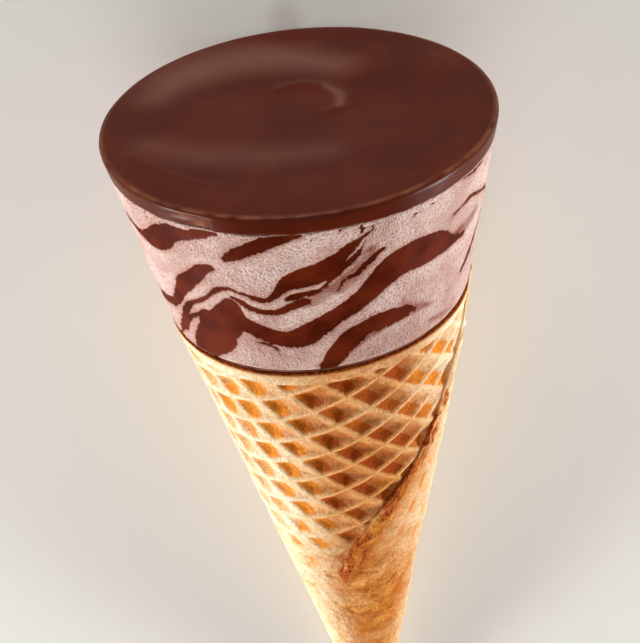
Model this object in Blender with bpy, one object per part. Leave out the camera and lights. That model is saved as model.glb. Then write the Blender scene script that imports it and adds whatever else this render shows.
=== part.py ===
"""A rolled waffle cone full of ice cream under a chocolate disc, lying on its side.

The cone has its own frame. z runs down its axis from the middle of the disc's top, r is the
distance from the axis, and theta is the angle round it: 0 at the right, 90 on the side that
lies upwards. Sizes are in millimetres until place() turns a point into the lying position in
metres. The wafer is thought of as a flat sheet, a sector of a disc with its middle at the
cone's point, that is rolled up: s is the distance from that point and phi = 90 - theta.
"""

import math

import bmesh
import bpy
from mathutils import Vector, noise
from mathutils.geometry import delaunay_2d_cdt

MM = 0.001

# Driving sizes of the filling
TOP_RADIUS = 30.0
DISC_HEIGHT = 3.0
FILLING_TAPER = 0.1917
GAP = 0.28

# Driving sizes of the wafer
MOUTH_Z = 30.8
MOUTH_RADIUS = 24.2
WAFER_TAPER = 0.2126
WALL = 1.5
LIP = 0.6
CHAMFER = 2.2
TIP_RADIUS = 2.6
HOLLOW_END_Z = 120.0
COLLAR = 2.6
PIT_DEPTH = 0.85
SEAM_STEP = 0.9
LINING = 0.45

# The waffle's two families of ridges in the flat sheet: one crossing and the two steps
RIDGE_ORIGIN = Vector((-1.88, 113.61))
RIDGE_A = Vector((3.55, -3.91))
RIDGE_B = Vector((5.39, 2.47))
PATTERN_END = 58.0
PATTERN_FULL = 76.0

# How far the round parts are pressed flat where the cone lies on its side
FLAT = 0.4

ALPHA = math.atan(WAFER_TAPER)
SLANT = MOUTH_RADIUS / math.sin(ALPHA)
APEX_Z = MOUTH_Z + MOUTH_RADIUS / WAFER_TAPER
TIP_SLANT = TIP_RADIUS / WAFER_TAPER
ROUND_STEPS = 96

AXIS = Vector((0.0, -math.cos(ALPHA), -math.sin(ALPHA)))
UPWARD = Vector((0.0, -math.sin(ALPHA), math.cos(ALPHA)))
RIGHT = Vector((1.0, 0.0, 0.0))
TOP_CENTRE = Vector((0.0, 62.8, APEX_Z * math.sin(ALPHA) - FLAT))

# The seam's course over the sheet: slant distance from the point, angle phi
SEAM = (
    (10.0, -17.0),
    (50.0, -17.0),
    (58.0, -15.5),
    (64.0, -8.5),
    (70.0, 0.5),
    (76.5, 13.0),
    (81.5, 25.0),
    (87.0, 40.0),
    (93.0, 52.0),
    (99.0, 59.5),
    (107.0, 72.5),
    (118.0, 86.5),
)


def blend(low, high, x):
    """0 below low, 1 above high and a smooth step between."""
    t = min(1.0, max(0.0, (x - low) / (high - low)))
    return t * t * (3.0 - 2.0 * t)


def lean(z):
    """The disc and the mouth aren't quite square to the axis: the rise per radius at this depth."""
    disc_to_mouth = blend(3.0, 28.0, z)
    fade = 1.0 - blend(36.0, 70.0, z)
    return (0.015 * (1.0 - disc_to_mouth) - 0.0242 * disc_to_mouth) * fade


def place(z, r, theta):
    """A point of the cone's frame, in metres, where the cone lies, pressed flat at the floor."""
    angle = math.radians(theta)
    z += lean(z) * r * math.cos(angle)
    around = RIGHT * math.cos(angle) + UPWARD * math.sin(angle)
    point = (TOP_CENTRE + AXIS * z + around * r) * MM
    point.z = max(point.z, 0.0)
    return point


def filling_radius(z):
    return TOP_RADIUS - FILLING_TAPER * z


def hollow_radius(z):
    """Inner radius of the wafer: a thin lip that opens into the full wall below it."""
    wall = (APEX_Z - z) * WAFER_TAPER - WALL / math.cos(ALPHA)
    at_lip = MOUTH_RADIUS - LIP
    below = MOUTH_Z + CHAMFER
    if z >= below:
        return wall
    full = (APEX_Z - below) * WAFER_TAPER - WALL / math.cos(ALPHA)
    return at_lip + (full - at_lip) * (z - MOUTH_Z) / CHAMFER


def finish(mesh_builder, name, colour, roughness):
    """Makes the object, closes its normals outwards and gives it its material."""
    bmesh.ops.recalc_face_normals(mesh_builder, faces=mesh_builder.faces)
    mesh = bpy.data.meshes.new(name)
    mesh_builder.to_mesh(mesh)
    mesh_builder.free()
    mesh.shade_smooth()
    mesh.set_sharp_from_angle(angle=math.radians(35))
    material = bpy.data.materials.new(name)
    material.use_nodes = True
    shader = material.node_tree.nodes["Principled BSDF"]
    shader.inputs["Base Color"].default_value = (*colour, 1.0)
    shader.inputs["Roughness"].default_value = roughness
    mesh.materials.append(material)
    made = bpy.data.objects.new(name, mesh)
    bpy.context.collection.objects.link(made)
    return made


def turned(profile, steps, shape):
    """Turns a profile of (z, r) round the axis. It starts and ends on the axis."""
    build = bmesh.new()
    rings = []
    for z, r in profile:
        if r == 0.0:
            rings.append([build.verts.new(shape(z, 0.0, 90.0))])
            continue
        rings.append([build.verts.new(shape(z, r, 360.0 * k / steps)) for k in range(steps)])
    for upper, lower in zip(rings, rings[1:]):
        for k in range(steps):
            corners = [
                upper[k % len(upper)],
                upper[(k + 1) % len(upper)],
                lower[(k + 1) % len(lower)],
                lower[k % len(lower)],
            ]
            distinct = list(dict.fromkeys(corners))
            build.faces.new(distinct)
    return build


def chocolate_disc():
    """A poured disc: shallow in the middle, with a rounded bead along its edge."""
    profile = [(0.45, 0.0)]
    profile += [(0.45 - 0.25 * blend(10.0, 26.0, r), float(r)) for r in (5, 10, 15, 20, 24, 27)]
    profile += [(0.05, 28.4), (0.0, 29.2), (0.18, 29.75), (0.6, filling_radius(0.6))]
    profile += [(1.6, filling_radius(1.6) + 0.08), (2.5, filling_radius(2.5))]
    profile += [(DISC_HEIGHT, filling_radius(DISC_HEIGHT) - 0.45), (DISC_HEIGHT, 14.0), (DISC_HEIGHT, 0.0)]
    return finish(turned(profile, ROUND_STEPS, place), "chocolate_disc", (0.075, 0.022, 0.012), 0.3)


def ice_cream():
    """The filling: a taper above the mouth, a neck at it, and a point down inside the wafer."""
    top = DISC_HEIGHT + GAP
    profile = [(top, 0.0), (top, 14.0), (top, filling_radius(top) - 0.6), (top + 0.35, filling_radius(top) - 0.1)]
    profile += [(float(z), filling_radius(z)) for z in (5, 9, 13, 17, 21, 25, 28)]
    inset = 2.0 * GAP + LINING
    neck = [MOUTH_Z - 1.2, MOUTH_Z - 0.4, MOUTH_Z + 0.3]
    at_mouth = hollow_radius(MOUTH_Z) - inset
    profile += [(z, filling_radius(z) + (at_mouth - filling_radius(z)) * w) for z, w in zip(neck, (0.3, 0.7, 1.0))]
    profile += [(z, hollow_radius(z) - inset) for z in (MOUTH_Z + CHAMFER + 0.2, 60.0, 90.0)]
    end = HOLLOW_END_Z - inset - 0.3
    profile += [(end - 0.8, hollow_radius(end) - inset), (end, 1.2), (end, 0.0)]

    def uneven(z, r, theta):
        angle = math.radians(theta)
        lump = noise.noise(Vector((math.cos(angle) * 2.2, math.sin(angle) * 2.2, z * 0.16)))
        shown = blend(4.0, 8.0, z) * (1.0 - blend(25.0, 29.0, z))
        return place(z, r + 0.22 * shown * lump, theta)

    return finish(turned(profile, ROUND_STEPS, uneven), "ice_cream", (0.72, 0.45, 0.36), 0.45)


def chocolate_lining():
    """A thin coat of chocolate on the inside of the wafer, its edge just under the lip."""
    depths = (MOUTH_Z + 0.2, MOUTH_Z + CHAMFER + 0.1, 60.0, 90.0, HOLLOW_END_Z - GAP - 0.8)
    outer = [(z, hollow_radius(z) - GAP) for z in depths]
    inner = [(z, r - LINING) for z, r in outer]
    end = HOLLOW_END_Z - GAP
    profile = [(end, 0.0), (end, outer[-1][1] - 0.7)] + outer[::-1]
    profile += inner + [(end - LINING, inner[-1][1] - 0.6), (end - LINING, 0.0)]
    return finish(turned(profile, 72, place), "chocolate_lining", (0.05, 0.012, 0.006), 0.35)


def seam_phi(s):
    """The seam's angle at this distance from the point."""
    for (s0, p0), (s1, p1) in zip(SEAM, SEAM[1:]):
        if s <= s1:
            ragged = 1.2 * noise.noise(Vector((s * 0.45, 3.7, 0.0))) * blend(52.0, 62.0, s)
            return p0 + (p1 - p0) * (s - s0) / (s1 - s0) + ragged
    return SEAM[-1][1]


def sheet_point(s, phi):
    angle = math.radians(phi) * math.sin(ALPHA)
    return Vector((s * math.sin(angle), s * math.cos(angle)))


def sheet_polar(point):
    """Distance from the point and angle phi of a place on the flat sheet."""
    return point.length, math.degrees(math.atan2(point.x, point.y)) / math.sin(ALPHA)


def overlap_height(s, phi):
    """The outer turn of the sheet lies over the inner one and settles down on it further round."""
    past_edge = max(0.0, phi - (seam_phi(s) - 360.0))
    fade = blend(50.0, 62.0, s) * (1.0 - 0.45 * blend(104.0, 116.0, s))
    return SEAM_STEP * fade * max(0.0, 1.0 - past_edge / 150.0) ** 1.5


def on_wafer(s, phi, height):
    """A point of the rolled sheet, raised by height along the surface's normal."""
    z = MOUTH_Z + (SLANT - s) * math.cos(ALPHA) + height * math.sin(ALPHA)
    r = s * math.sin(ALPHA) + height * math.cos(ALPHA)
    return place(z, r, 90.0 - phi)


def clipped(polygon, at, inward):
    """The part of a flat polygon on the inward side of a line."""
    kept = []
    for a, b in zip(polygon, polygon[1:] + polygon[:1]):
        da = (a - at).dot(inward)
        db = (b - at).dot(inward)
        if da >= 0.0:
            kept.append(a)
        if (da >= 0.0) != (db >= 0.0):
            kept.append(a + (b - a) * (da / (da - db)))
    return kept


def area_of(polygon):
    return 0.5 * abs(sum(a.cross(b) for a, b in zip(polygon, polygon[1:] + polygon[:1])))


def pit_outline(i, j):
    """The four ridges round one cell of the waffle, cut back where the collar or the seam crosses it."""
    corner = RIDGE_ORIGIN + RIDGE_A * i + RIDGE_B * j
    cell = [corner, corner + RIDGE_A, corner + RIDGE_A + RIDGE_B, corner + RIDGE_B]
    middle = (cell[0] + cell[2]) / 2.0
    s, phi = sheet_polar(middle)
    if not PATTERN_END < s < SLANT + 2.0:
        return None
    left, right = seam_phi(s) - 360.0, seam_phi(s)
    if not left - 8.0 < phi < right + 8.0:
        return None
    inward = -middle.normalized()
    cell = clipped(cell, sheet_point(SLANT - COLLAR, phi), inward)
    for side, sign in ((left, 1.0), (right, -1.0)):
        below = sheet_point(s - 2.5, seam_phi(s - 2.5) - (right - side))
        above = sheet_point(s + 2.5, seam_phi(s + 2.5) - (right - side))
        along = (above - below).normalized()
        inward = Vector((along.y, -along.x)) * sign
        cell = clipped(cell, sheet_point(s, side) + inward * 0.9, inward) if len(cell) > 2 else cell
    if len(cell) < 3 or area_of(cell) < 0.3 * abs(RIDGE_A.cross(RIDGE_B)):
        return None
    return cell


def wafer_sheet():
    """The flat sheet as triangles: ridges, pit floors, collar and seam are its fixed lines.

    Gives the triangles, a list of (s, phi, height) and the four edges of the sheet.
    """
    points = []
    pit_of = {}
    lines = []

    def add(point, depth=0.0):
        points.append(point)
        if depth:
            pit_of[len(points) - 1] = depth
        return len(points) - 1

    count = 44
    slants = [TIP_SLANT + (SLANT - TIP_SLANT) * (k / count) ** 0.9 for k in range(count + 1)]
    left = [add(sheet_point(s, seam_phi(s) - 360.0)) for s in slants]
    sweep = [k / ROUND_STEPS for k in range(1, ROUND_STEPS)]
    rim = [add(sheet_point(SLANT, seam_phi(SLANT) - 360.0 + 360.0 * t)) for t in sweep]
    right = [add(sheet_point(s, seam_phi(s))) for s in slants]
    tip_steps = 24
    around = [k / tip_steps for k in range(1, tip_steps)]
    tip = [add(sheet_point(TIP_SLANT, seam_phi(TIP_SLANT) - 360.0 + 360.0 * t)) for t in around]
    outline = left + rim + right[::-1] + tip[::-1]

    collar_s = SLANT - COLLAR
    inset = 5.0
    collar = [
        add(sheet_point(collar_s, seam_phi(collar_s) - 360.0 + inset + (360.0 - 2.0 * inset) * t))
        for t in [k / ROUND_STEPS for k in range(ROUND_STEPS + 1)]
    ]
    lines += list(zip(collar, collar[1:]))

    s = TIP_SLANT + 4.0
    row = 0
    while s < PATTERN_END - 1.0:
        steps = max(10, int(360.0 * math.sin(ALPHA) * s * math.pi / 180.0 / 5.0))
        for k in range(steps):
            turn = 360.0 * (k + 0.5 + 0.25 * (-1) ** row) / steps
            add(sheet_point(s, seam_phi(s) - 360.0 + turn))
        s += 4.6
        row += 1

    corners = {}

    def shared(point):
        key = (round(point.x, 3), round(point.y, 3))
        if key not in corners:
            corners[key] = add(point)
        return corners[key]

    for i in range(-30, 50):
        for j in range(-50, 40):
            cell = pit_outline(i, j)
            if cell is None:
                continue
            outer = [shared(point) for point in cell]
            lines += list(zip(outer, outer[1:] + outer[:1]))
            middle = sum(cell, Vector((0.0, 0.0))) / len(cell)
            depth = PIT_DEPTH * blend(PATTERN_END, PATTERN_FULL, middle.length)
            floor = [add(middle + (point - middle) * 0.5, depth) for point in cell]
            lines += list(zip(floor, floor[1:] + floor[:1]))

    found, _, faces, origins, _, _ = delaunay_2d_cdt(points, lines, [outline], 1, 1e-5)
    surface = []
    position_of = {}
    for index, (point, sources) in enumerate(zip(found, origins)):
        s, phi = sheet_polar(point)
        height = overlap_height(s, phi)
        if any(source in right for source in sources):
            height = 0.0
        surface.append((s, phi, height - max([pit_of.get(source, 0.0) for source in sources] or [0.0])))
        for source in sources:
            position_of[source] = index
    edges = {
        "left": [position_of[k] for k in left],
        "right": [position_of[k] for k in right],
        "rim": [position_of[k] for k in [left[-1]] + rim + [right[-1]]],
        "tip": [position_of[k] for k in [left[0]] + tip],
    }
    return surface, faces, edges


def wafer_cone():
    """The rolled sheet closed by the seam's edge, the lip, the smooth hollow inside and the round tip."""
    surface, faces, edges = wafer_sheet()
    build = bmesh.new()
    skin = [build.verts.new(on_wafer(*where)) for where in surface]
    for high, low in zip(edges["left"], edges["right"]):
        if (skin[high].co - skin[low].co).length < 1e-6:
            skin[low] = skin[high]

    def face(corners):
        distinct = list(dict.fromkeys(corners))
        if len(distinct) > 2:
            build.faces.new(distinct)

    for triangle in faces:
        face([skin[k] for k in triangle])
    left = [skin[k] for k in edges["left"]]
    right = [skin[k] for k in edges["right"]]
    for k in range(len(left) - 1):
        face([left[k], left[k + 1], right[k + 1], right[k]])

    rim = [skin[k] for k in edges["rim"]]
    angles = [90.0 - surface[k][1] for k in edges["rim"][:-1]]
    depths = (MOUTH_Z, MOUTH_Z + CHAMFER, 60.0, 90.0, HOLLOW_END_Z - 0.6, HOLLOW_END_Z)
    radii = [hollow_radius(z) for z in depths[:-1]] + [hollow_radius(HOLLOW_END_Z) - 0.8]
    rings = [[build.verts.new(place(z, r, a)) for a in angles] for z, r in zip(depths, radii)]
    for k in range(ROUND_STEPS):
        face([rim[k], rim[k + 1], rings[0][(k + 1) % ROUND_STEPS], rings[0][k]])
    face([rim[-1], rim[0], rings[0][0]])
    for upper, lower in zip(rings, rings[1:]):
        for k in range(ROUND_STEPS):
            after = (k + 1) % ROUND_STEPS
            face([upper[k], upper[after], lower[after], lower[k]])
    bottom = build.verts.new(place(HOLLOW_END_Z, 0.0, 90.0))
    for k in range(ROUND_STEPS):
        face([rings[-1][k], rings[-1][(k + 1) % ROUND_STEPS], bottom])

    tip_z = APEX_Z - TIP_RADIUS / math.sin(ALPHA)
    ring = [skin[k] for k in edges["tip"]]
    turns = [90.0 - surface[k][1] for k in edges["tip"]]
    for lift in (30.0, 55.0):
        z = tip_z + TIP_RADIUS * math.sin(math.radians(lift))
        r = TIP_RADIUS * math.cos(math.radians(lift))
        following = [build.verts.new(place(z, r, turn)) for turn in turns]
        for k in range(len(ring)):
            after = (k + 1) % len(ring)
            face([ring[k], ring[after], following[after], following[k]])
        ring = following
    pole = build.verts.new(place(tip_z + TIP_RADIUS, 0.0, 90.0))
    for k in range(len(ring)):
        face([ring[k], ring[(k + 1) % len(ring)], pole])
    for vert in [v for v in build.verts if not v.link_faces]:
        build.verts.remove(vert)
    return finish(build, "wafer_cone", (0.62, 0.33, 0.13), 0.6)


def centre(objects):
    """Moves the whole so that the middle of its footprint is the origin."""
    corners = [vert.co for made in objects for vert in made.data.vertices]
    shift = Vector((
        -(min(c.x for c in corners) + max(c.x for c in corners)) / 2.0,
        -(min(c.y for c in corners) + max(c.y for c in corners)) / 2.0,
        -min(c.z for c in corners),
    ))
    for made in objects:
        for vert in made.data.vertices:
            vert.co += shift
    return shift


def main():
    for old in list(bpy.data.objects):
        bpy.data.objects.remove(old)
    made = [wafer_cone(), chocolate_lining(), ice_cream(), chocolate_disc()]
    centre(made)


main()
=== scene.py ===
# %% [markdown]
# # A waffle cone under a chocolate disc
# The object is a rolled sugar wafer, filled with ice cream that has sauce folded through it and
# closed by a poured disc of milk chocolate. It can't stand, so it lies on its side.
# Each solid of the part is replaced here by a finer mesh of the same size, because the solids
# leave out what is finer than a step away: baked ridges, sauce, pores, the pour's curls.

import math

import bpy
import numpy as np
from mathutils import Matrix, Vector


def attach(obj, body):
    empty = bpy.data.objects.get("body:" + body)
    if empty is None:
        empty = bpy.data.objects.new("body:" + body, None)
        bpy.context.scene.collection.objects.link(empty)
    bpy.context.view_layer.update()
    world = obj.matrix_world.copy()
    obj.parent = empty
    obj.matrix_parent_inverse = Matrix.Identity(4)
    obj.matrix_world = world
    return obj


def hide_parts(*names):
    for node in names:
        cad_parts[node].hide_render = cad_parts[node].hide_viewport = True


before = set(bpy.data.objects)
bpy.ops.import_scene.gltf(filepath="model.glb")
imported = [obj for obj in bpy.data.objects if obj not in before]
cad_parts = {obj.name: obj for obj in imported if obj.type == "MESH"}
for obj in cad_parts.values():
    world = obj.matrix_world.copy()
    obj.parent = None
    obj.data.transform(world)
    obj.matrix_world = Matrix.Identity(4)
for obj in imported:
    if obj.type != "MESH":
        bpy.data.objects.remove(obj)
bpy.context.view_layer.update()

# %% [markdown]
# ## The cone's own frame
# Turned food is easiest to think of round its axis. z is the depth below the middle of the
# disc's top, r the distance from the axis and theta the angle round it, 0 at the right and 90 on
# the upper side, all in millimetres and degrees. place() lays such points down in metres. The
# wafer is a flat sheet before it is rolled: s is the distance from its point, and phi is
# 90 - theta. Where the cone rests, points below the floor are pressed flat onto it.

# %% Sizes and the lying position
MM = 0.001
TOP_RADIUS = 30.0
DISC_HEIGHT = 3.0
FILLING_TAPER = 0.1917
MOUTH_Z = 30.8
MOUTH_RADIUS = 24.2
WAFER_TAPER = 0.2126
WALL = 1.5
LIP = 0.6
CHAMFER = 2.2
TIP_RADIUS = 2.6
HOLLOW_END_Z = 120.0
LINING = 0.45
SEAM_STEP = 0.9
ALPHA = math.atan(WAFER_TAPER)
SLANT = MOUTH_RADIUS / math.sin(ALPHA)
APEX_Z = MOUTH_Z + MOUTH_RADIUS / WAFER_TAPER
TIP_SLANT = TIP_RADIUS / WAFER_TAPER
AXIS = np.array((0.0, -math.cos(ALPHA), -math.sin(ALPHA)))
UPWARD = np.array((0.0, -math.sin(ALPHA), math.cos(ALPHA)))
RIGHT = np.array((1.0, 0.0, 0.0))
PRESSED_FLAT = 0.4
TOP_Y = 62.847
TOP_CENTRE = np.array((0.0, TOP_Y, APEX_Z * math.sin(ALPHA) - PRESSED_FLAT))


def blend(low, high, x):
    """0 below low, 1 above high and a smooth step between."""
    t = np.clip((x - low) / (high - low), 0.0, 1.0)
    return t * t * (3.0 - 2.0 * t)


def lean(z):
    """The disc and the mouth aren't quite square to the axis."""
    disc_to_mouth = blend(3.0, 28.0, z)
    return (0.015 - 0.0392 * disc_to_mouth) * (1.0 - blend(36.0, 70.0, z))


def place(z, r, theta):
    """Points in metres from depth, radius and angle; what would be below the floor is pressed flat."""
    z, r, theta = np.broadcast_arrays(z, r, theta)
    angle = np.radians(theta)
    z = z + lean(z) * r * np.cos(angle)
    across = (r * np.cos(angle))[..., None] * RIGHT + (r * np.sin(angle))[..., None] * UPWARD
    point = (TOP_CENTRE + z[..., None] * AXIS + across) * MM
    point[..., 2] = np.maximum(point[..., 2], 0.0)
    return point


def filling_radius(z):
    return TOP_RADIUS - FILLING_TAPER * z


def hollow_radius(z):
    """Inner radius of the wafer: a thin lip that opens into the full wall below it."""
    wall = (APEX_Z - z) * WAFER_TAPER - WALL / math.cos(ALPHA)
    full = (APEX_Z - MOUTH_Z - CHAMFER) * WAFER_TAPER - WALL / math.cos(ALPHA)
    share = np.clip((z - MOUTH_Z) / CHAMFER, 0.0, 1.0)
    return np.where(z >= MOUTH_Z + CHAMFER, wall, MOUTH_RADIUS - LIP + (full - MOUTH_RADIUS + LIP) * share)


print("the wafer's slant length is", round(SLANT, 1), "mm, half angle", round(math.degrees(ALPHA), 1))


# %% [markdown]
# ## Helpers for uneven food
# Food is never even, so lumps() gives smooth random swellings of a chosen size from a seeded
# table. skin() joins rings of points into one closed mesh, from a first point to a last one.
# into_scene() makes an object and puts it in the scene.
# strokes_distance() measures how far a place is from drawn strokes, which is how the sauce
# and the wrinkles are described: a few places, each with its width. rounded() bends a stroke.

# %% Lumps, skins and strokes
TABLE = 32


def lumps(points, cell, seed):
    """Smooth random lumps between -1 and 1; cell is their size in the points' own unit."""
    table = np.random.default_rng(seed).uniform(-1.0, 1.0, (TABLE, TABLE, TABLE))
    scaled = points / cell
    base = np.floor(scaled).astype(int)
    part = scaled - base
    part = part * part * (3.0 - 2.0 * part)
    total = np.zeros(points.shape[:-1])
    for corner in np.ndindex(2, 2, 2):
        weight = np.prod(np.where(np.array(corner) == 1, part, 1.0 - part), axis=-1)
        index = (base + np.array(corner)) % TABLE
        total += weight * table[index[..., 0], index[..., 1], index[..., 2]]
    return total


def into_scene(name, data):
    made = bpy.data.objects.new(name, data)
    bpy.context.scene.collection.objects.link(made)
    return made


def skin(name, rings, marks):
    """A closed mesh from rows of points round the axis; its first and last rows are single points."""
    rows, steps = rings.shape[:2]
    points = np.concatenate([rings[:1, 0], rings[1:-1].reshape(-1, 3), rings[-1:, 0]])
    k = np.arange(steps)
    after = (k + 1) % steps
    start = 1 + np.arange(rows - 3)[:, None] * steps
    quads = np.stack([start + k, start + after, start + steps + after, start + steps + k], -1).reshape(-1, 4)
    last = 1 + (rows - 3) * steps
    fans = np.concatenate([
        np.stack([np.zeros(steps, int), 1 + after, 1 + k], -1),
        np.stack([np.full(steps, len(points) - 1), last + k, last + after], -1),
    ])
    a, b, c = (points[fans[:, n]] for n in range(3))
    p, q, r, s = (points[quads[:, n]] for n in range(4))
    volume = np.einsum("ij,ij->", a, np.cross(b, c)) + np.einsum("ij,ij->", p, np.cross(q, r) + np.cross(r, s))
    if volume < 0.0:
        quads, fans = quads[:, ::-1], fans[:, ::-1]
    mesh = bpy.data.meshes.new(name)
    mesh.from_pydata(points.tolist(), [], quads.tolist() + fans.tolist())
    mesh.shade_smooth()
    for label, values in marks.items():
        flat = np.concatenate([values[:1, 0], values[1:-1].reshape(-1, *values.shape[2:]), values[-1:, 0]])
        kind = "FLOAT_VECTOR" if flat.ndim == 2 else "FLOAT"
        store = mesh.attributes.new(label, kind, "POINT")
        store.data.foreach_set("vector" if flat.ndim == 2 else "value", flat.astype(np.float32).ravel())
    print(name, "has", len(quads) * 2 + len(fans), "triangles")
    return into_scene(name, mesh)


def rounded(stroke):
    """The stroke with its corners cut twice, so that it bends softly."""
    places = np.array(stroke)
    for _ in range(2):
        near = 0.75 * places[:-1] + 0.25 * places[1:]
        far = 0.25 * places[:-1] + 0.75 * places[1:]
        between = np.stack([near, far], 1).reshape(-1, 3)
        places = np.concatenate([places[:1], between[1:-1], places[-1:]])
    return places


def strokes_distance(x, y, stroke):
    """Distance in mm from each place to a stroke of (x, y, half width), negative inside it."""
    nearest = np.full(np.shape(x), 99.0)
    for (x0, y0, w0), (x1, y1, w1) in zip(stroke, stroke[1:]):
        dx, dy = x1 - x0, y1 - y0
        share = np.clip(((x - x0) * dx + (y - y0) * dy) / (dx * dx + dy * dy), 0.0, 1.0)
        away = np.hypot(x - x0 - share * dx, y - y0 - share * dy) - (w0 + share * (w1 - w0))
        nearest = np.minimum(nearest, away)
    return nearest


print("a stroke of 3 places bends through", len(rounded([(0, 0, 1), (4, 3, 1), (8, 0, 1)])))

# %% [markdown]
# ## Materials
# Each finish is a small node tree. One function adds a node with its settings and its links, and
# one turns a colour picked as sRGB hex into the linear values that shaders use. Pattern scales
# come from real sizes: a Noise texture's scale is one over the size in metres. Inputs are named,
# or counted from 0: a Map Range has its value at 0, the range it reads at 1 and 2 and the range
# it gives at 3 and 4, and a Mix has its share at 0 and its two colours at 6 and 7.

# %% Node and colour helpers
SMOOTH = {"interpolation_type": "SMOOTHSTEP"}
COLOURS = {"data_type": "RGBA", "out": 2}


def linear(hex_colour):
    channels = [int(hex_colour[k:k + 2], 16) / 255.0 for k in (1, 3, 5)]
    return [c / 12.92 if c <= 0.04045 else ((c + 0.055) / 1.055) ** 2.4 for c in channels] + [1.0]


def set_inputs(tree, node, inputs):
    """Sets a node's inputs. An input is a value or another node's output."""
    for key, value in inputs.items():
        if isinstance(value, bpy.types.NodeSocket):
            tree.links.new(value, node.inputs[key])
        else:
            node.inputs[key].default_value = value


def add(tree, kind, inputs=None, out=0, **settings):
    """Adds a node, a shader node by its kind alone, and returns its output called out."""
    node = tree.nodes.new(kind if "Node" in kind else "ShaderNode" + kind)
    for key, value in settings.items():
        setattr(node, key, value)
    set_inputs(tree, node, inputs or {})
    return node.outputs[out] if len(node.outputs) else node


def finish_named(name):
    material = bpy.data.materials.new(name)
    material.use_nodes = True
    tree = material.node_tree
    return material, tree, tree.nodes["Principled BSDF"]


print("toasted brown in linear values:", [round(c, 3) for c in linear("#be6a22")[:3]])

# %% [markdown]
# ### The iron's pattern
# A waffle iron for cones is cut with two families of V-shaped grooves that lean both ways, about
# 5 and 5.6 mm apart. Between them stand four-sided points. So the baked sheet has thin crisp
# ridges and, in each blunt diamond, a pit like an upturned pyramid with one steep side and a gentle
# slope opposite it. One rule gives both: the flat sheet's coordinates, counted in cells, tell how
# far past a ridge of each family a place is. The same nodes work in a shader, which colours the
# pits, and in Geometry Nodes, which press them. Walls meet in soft corners, and a pit reaches its
# floor a little before its deepest line. The crest's ends are in mm, the steep side's in cells.

# %% The pattern's nodes
RIDGE_A, RIDGE_B = np.array((3.55, -3.91)), np.array((5.39, 2.47))
CELL = abs(RIDGE_A[0] * RIDGE_B[1] - RIDGE_A[1] * RIDGE_B[0])
IRON = {
    "Crossing": (-1.88, 113.61, 0.0),
    "Count A": (RIDGE_B[1] / CELL, -RIDGE_B[0] / CELL, 0.0),
    "Count B": (-RIDGE_A[1] / CELL, RIDGE_A[0] / CELL, 0.0),
    "Spacing A": CELL / math.hypot(*RIDGE_B),
    "Spacing B": CELL / math.hypot(*RIDGE_A),
    "Deepest A": 0.46,
    "Deepest B": 0.3,
    "Ridge half width": 0.24,
}
PIT_DEPTH = 0.95
WALL_ROUNDING = 0.08
FLOOR_GAIN, FLOOR_ROUNDING = 1.45, 0.12
CREST_FROM, CREST_TO = 0.38, 0.12
STEEP_FROM, STEEP_TO = 0.54, 0.40


def iron_pattern(tree, sheet_at, shows, sizes):
    """Outputs: the pit's share of its depth, 1 on a ridge's crest, and 1 on a pit's steep side."""
    from_crossing = add(tree, "VectorMath", {0: sheet_at, 1: sizes["Crossing"]}, operation="SUBTRACT")
    lowest, nearest = [], []
    for family in ("A", "B"):
        spacing = sizes["Spacing " + family]
        cells = add(tree, "VectorMath", {0: from_crossing, 1: sizes["Count " + family]}, "Value",
                    operation="DOT_PRODUCT")
        part = add(tree, "Math", {0: cells}, operation="FRACT")
        past = add(tree, "Math", {0: part, 1: spacing}, operation="MULTIPLY")
        ahead = add(tree, "Math", {0: spacing, 1: past}, operation="SUBTRACT")
        deepest = add(tree, "Math", {0: spacing, 1: sizes["Deepest " + family]}, operation="MULTIPLY")
        beyond = add(tree, "Math", {0: spacing, 1: deepest}, operation="SUBTRACT")
        walls = [add(tree, "MapRange", {0: away, 1: sizes["Ridge half width"], 2: end})
                 for away, end in ((past, deepest), (ahead, beyond))]
        lowest.append(add(tree, "Math", {0: walls[0], 1: walls[1], 2: WALL_ROUNDING}, operation="SMOOTH_MIN"))
        nearest.append(add(tree, "Math", {0: past, 1: ahead}, operation="MINIMUM"))
    lower = add(tree, "Math", {0: lowest[0], 1: lowest[1], 2: WALL_ROUNDING}, operation="SMOOTH_MIN")
    deeper = add(tree, "Math", {0: lower, 1: FLOOR_GAIN}, operation="MULTIPLY")
    floored = add(tree, "Math", {0: deeper, 1: 1.0, 2: FLOOR_ROUNDING}, operation="SMOOTH_MIN")
    pit = add(tree, "Math", {0: floored, 1: shows}, operation="MULTIPLY")
    nearer = add(tree, "Math", {0: nearest[0], 1: nearest[1]}, operation="MINIMUM")
    crest = add(tree, "MapRange", {0: nearer, 1: CREST_FROM, 2: CREST_TO})
    crest = add(tree, "Math", {0: crest, 1: shows}, operation="MULTIPLY")
    steep = add(tree, "MapRange", {0: part, 1: STEEP_FROM, 2: STEEP_TO})
    return pit, crest, steep


print("ridges", round(IRON["Spacing A"], 2), "and", round(IRON["Spacing B"], 2), "mm apart")
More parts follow.
